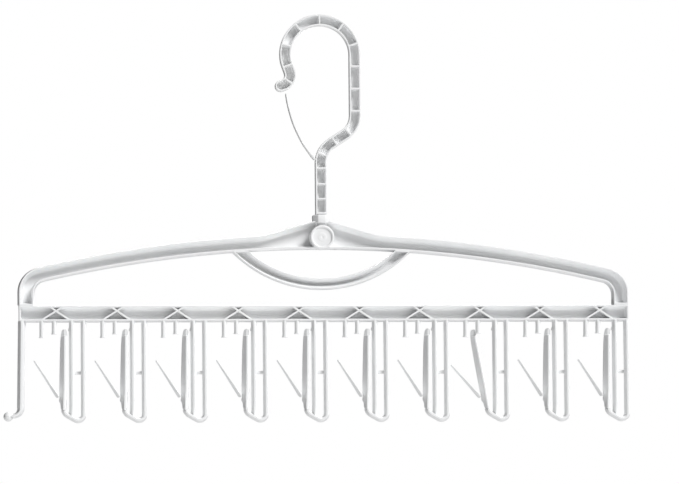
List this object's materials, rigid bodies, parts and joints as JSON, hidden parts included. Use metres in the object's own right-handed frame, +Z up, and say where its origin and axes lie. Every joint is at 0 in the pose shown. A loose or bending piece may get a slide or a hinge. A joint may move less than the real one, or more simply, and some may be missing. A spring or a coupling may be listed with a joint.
{
  "type": "sock drying hanger",
  "caption": "Slim moulded plastic hanger for drying socks: swivelling ribbed hook with a sprung gate leaf, channel-section shoulders with a bow below, and a rail of sprung sock clips.",
  "frame": {"origin": "rod seat: the middle of the small flat facet at the top of the inside of the hook's eye", "axes": "+Z up, +X to the right seen from the front, -Y towards the viewer, where the channels are open"},
  "size_m": [0.4116, 0.0138, 0.2682],
  "materials": {
    "hook": "moulded white plastic, soft gloss",
    "frame": "moulded white plastic, soft gloss",
    "clip": "moulded white plastic, soft gloss",
    "cap": "moulded white plastic, smooth"
  },
  "bodies": {
    "hook": {"hook": "hook", "swivel_pin": "hook"},
    "gate": {"hook_gate": "hook"},
    "frame": {"swivel_barrel": "frame", "hub_cap": "cap", "left_arm": "frame", "right_arm": "frame", "grip_bow": "frame", "clip_rail": "frame", "end_hook_leg": "frame", "clip_leg_01": "clip", "clip_leg_02": "clip", "clip_leg_03": "clip", "clip_leg_04": "clip", "clip_leg_05": "clip", "clip_leg_06": "clip", "clip_leg_07": "clip", "clip_leg_08": "clip", "clip_leg_09": "clip", "clip_leg_10": "clip"},
    "clip_01_arm": {"clip_arm_01": "clip"},
    "clip_01_tongue": {"clip_tongue_01": "clip"},
    "clip_02_arm": {"clip_arm_02": "clip"},
    "clip_02_tongue": {"clip_tongue_02": "clip"},
    "clip_03_arm": {"clip_arm_03": "clip"},
    "clip_03_tongue": {"clip_tongue_03": "clip"},
    "clip_04_arm": {"clip_arm_04": "clip"},
    "clip_04_tongue": {"clip_tongue_04": "clip"},
    "clip_05_arm": {"clip_arm_05": "clip"},
    "clip_05_tongue": {"clip_tongue_05": "clip"},
    "clip_06_arm": {"clip_arm_06": "clip"},
    "clip_06_tongue": {"clip_tongue_06": "clip"},
    "clip_07_arm": {"clip_arm_07": "clip"},
    "clip_07_tongue": {"clip_tongue_07": "clip"},
    "clip_08_arm": {"clip_arm_08": "clip"},
    "clip_08_tongue": {"clip_tongue_08": "clip"},
    "clip_09_arm": {"clip_arm_09": "clip"},
    "clip_09_tongue": {"clip_tongue_09": "clip"},
    "clip_10_arm": {"clip_arm_10": "clip"},
    "clip_10_tongue": {"clip_tongue_10": "clip"}
  },
  "joints": [
    {"name": "gate_flex", "type": "hinge", "parent": "hook", "child": "gate", "pos_m": [-0.0049, 0, -0.0862], "axis": [0, 1, 0], "range_deg": [0, 40], "stiffness_Nm_per_rad": 0.022},
    {"name": "hook_swivel", "type": "hinge", "parent": "hook", "child": "frame", "pos_m": [0, 0, -0.13], "axis": [0, 0, 1], "continuous": true},
    {"name": "arm_01_flex", "type": "hinge", "parent": "frame", "child": "clip_01_arm", "pos_m": [-0.16935, 0, -0.251], "axis": [0, -1, 0], "range_deg": [-0.3, 10], "stiffness_Nm_per_rad": 0.29},
    {"name": "tongue_01_flex", "type": "hinge", "parent": "clip_01_arm", "child": "clip_01_tongue", "pos_m": [-0.17345, 0, -0.2433], "axis": [0, 1, 0], "range_deg": [-5, 20], "stiffness_Nm_per_rad": 0.03},
    {"name": "arm_02_flex", "type": "hinge", "parent": "frame", "child": "clip_02_arm", "pos_m": [-0.12963, 0, -0.251], "axis": [0, -1, 0], "range_deg": [-0.3, 10], "stiffness_Nm_per_rad": 0.29},
    {"name": "tongue_02_flex", "type": "hinge", "parent": "clip_02_arm", "child": "clip_02_tongue", "pos_m": [-0.13373, 0, -0.2433], "axis": [0, 1, 0], "range_deg": [-5, 20], "stiffness_Nm_per_rad": 0.03},
    {"name": "arm_03_flex", "type": "hinge", "parent": "frame", "child": "clip_03_arm", "pos_m": [-0.08991, 0, -0.251], "axis": [0, -1, 0], "range_deg": [-0.3, 10], "stiffness_Nm_per_rad": 0.29},
    {"name": "tongue_03_flex", "type": "hinge", "parent": "clip_03_arm", "child": "clip_03_tongue", "pos_m": [-0.09401, 0, -0.2433], "axis": [0, 1, 0], "range_deg": [-5, 20], "stiffness_Nm_per_rad": 0.03},
    {"name": "arm_04_flex", "type": "hinge", "parent": "frame", "child": "clip_04_arm", "pos_m": [-0.05019, 0, -0.251], "axis": [0, -1, 0], "range_deg": [-0.3, 10], "stiffness_Nm_per_rad": 0.29},
    {"name": "tongue_04_flex", "type": "hinge", "parent": "clip_04_arm", "child": "clip_04_tongue", "pos_m": [-0.05429, 0, -0.2433], "axis": [0, 1, 0], "range_deg": [-5, 20], "stiffness_Nm_per_rad": 0.03},
    {"name": "arm_05_flex", "type": "hinge", "parent": "frame", "child": "clip_05_arm", "pos_m": [-0.01047, 0, -0.251], "axis": [0, -1, 0], "range_deg": [-0.3, 10], "stiffness_Nm_per_rad": 0.29},
    {"name": "tongue_05_flex", "type": "hinge", "parent": "clip_05_arm", "child": "clip_05_tongue", "pos_m": [-0.01457, 0, -0.2433], "axis": [0, 1, 0], "range_deg": [-5, 20], "stiffness_Nm_per_rad": 0.03},
    {"name": "arm_06_flex", "type": "hinge", "parent": "frame", "child": "clip_06_arm", "pos_m": [0.02925, 0, -0.251], "axis": [0, -1, 0], "range_deg": [-0.3, 10], "stiffness_Nm_per_rad": 0.29},
    {"name": "tongue_06_flex", "type": "hinge", "parent": "clip_06_arm", "child": "clip_06_tongue", "pos_m": [0.02515, 0, -0.2433], "axis": [0, 1, 0], "range_deg": [-5, 20], "stiffness_Nm_per_rad": 0.03},
    {"name": "arm_07_flex", "type": "hinge", "parent": "frame", "child": "clip_07_arm", "pos_m": [0.06897, 0, -0.251], "axis": [0, -1, 0], "range_deg": [-0.3, 10], "stiffness_Nm_per_rad": 0.29},
    {"name": "tongue_07_flex", "type": "hinge", "parent": "clip_07_arm", "child": "clip_07_tongue", "pos_m": [0.06487, 0, -0.2433], "axis": [0, 1, 0], "range_deg": [-5, 20], "stiffness_Nm_per_rad": 0.03},
    {"name": "arm_08_flex", "type": "hinge", "parent": "frame", "child": "clip_08_arm", "pos_m": [0.10869, 0, -0.251], "axis": [0, -1, 0], "range_deg": [-11.5, 0.3], "stiffness_Nm_per_rad": 0.29},
    {"name": "tongue_08_flex", "type": "hinge", "parent": "clip_08_arm", "child": "clip_08_tongue", "pos_m": [0.10317, 0, -0.24424], "axis": [0, 1, 0], "range_deg": [-0.3, 20], "stiffness_Nm_per_rad": 0.03},
    {"name": "arm_09_flex", "type": "hinge", "parent": "frame", "child": "clip_09_arm", "pos_m": [0.14841, 0, -0.251], "axis": [0, -1, 0], "range_deg": [-0.3, 10], "stiffness_Nm_per_rad": 0.29},
    {"name": "tongue_09_flex", "type": "hinge", "parent": "clip_09_arm", "child": "clip_09_tongue", "pos_m": [0.14431, 0, -0.2433], "axis": [0, 1, 0], "range_deg": [-5, 20], "stiffness_Nm_per_rad": 0.03},
    {"name": "arm_10_flex", "type": "hinge", "parent": "frame", "child": "clip_10_arm", "pos_m": [0.18813, 0, -0.251], "axis": [0, -1, 0], "range_deg": [-0.3, 10], "stiffness_Nm_per_rad": 0.29},
    {"name": "tongue_10_flex", "type": "hinge", "parent": "clip_10_arm", "child": "clip_10_tongue", "pos_m": [0.18403, 0, -0.2433], "axis": [0, 1, 0], "range_deg": [-5, 20], "stiffness_Nm_per_rad": 0.03}
  ]
}
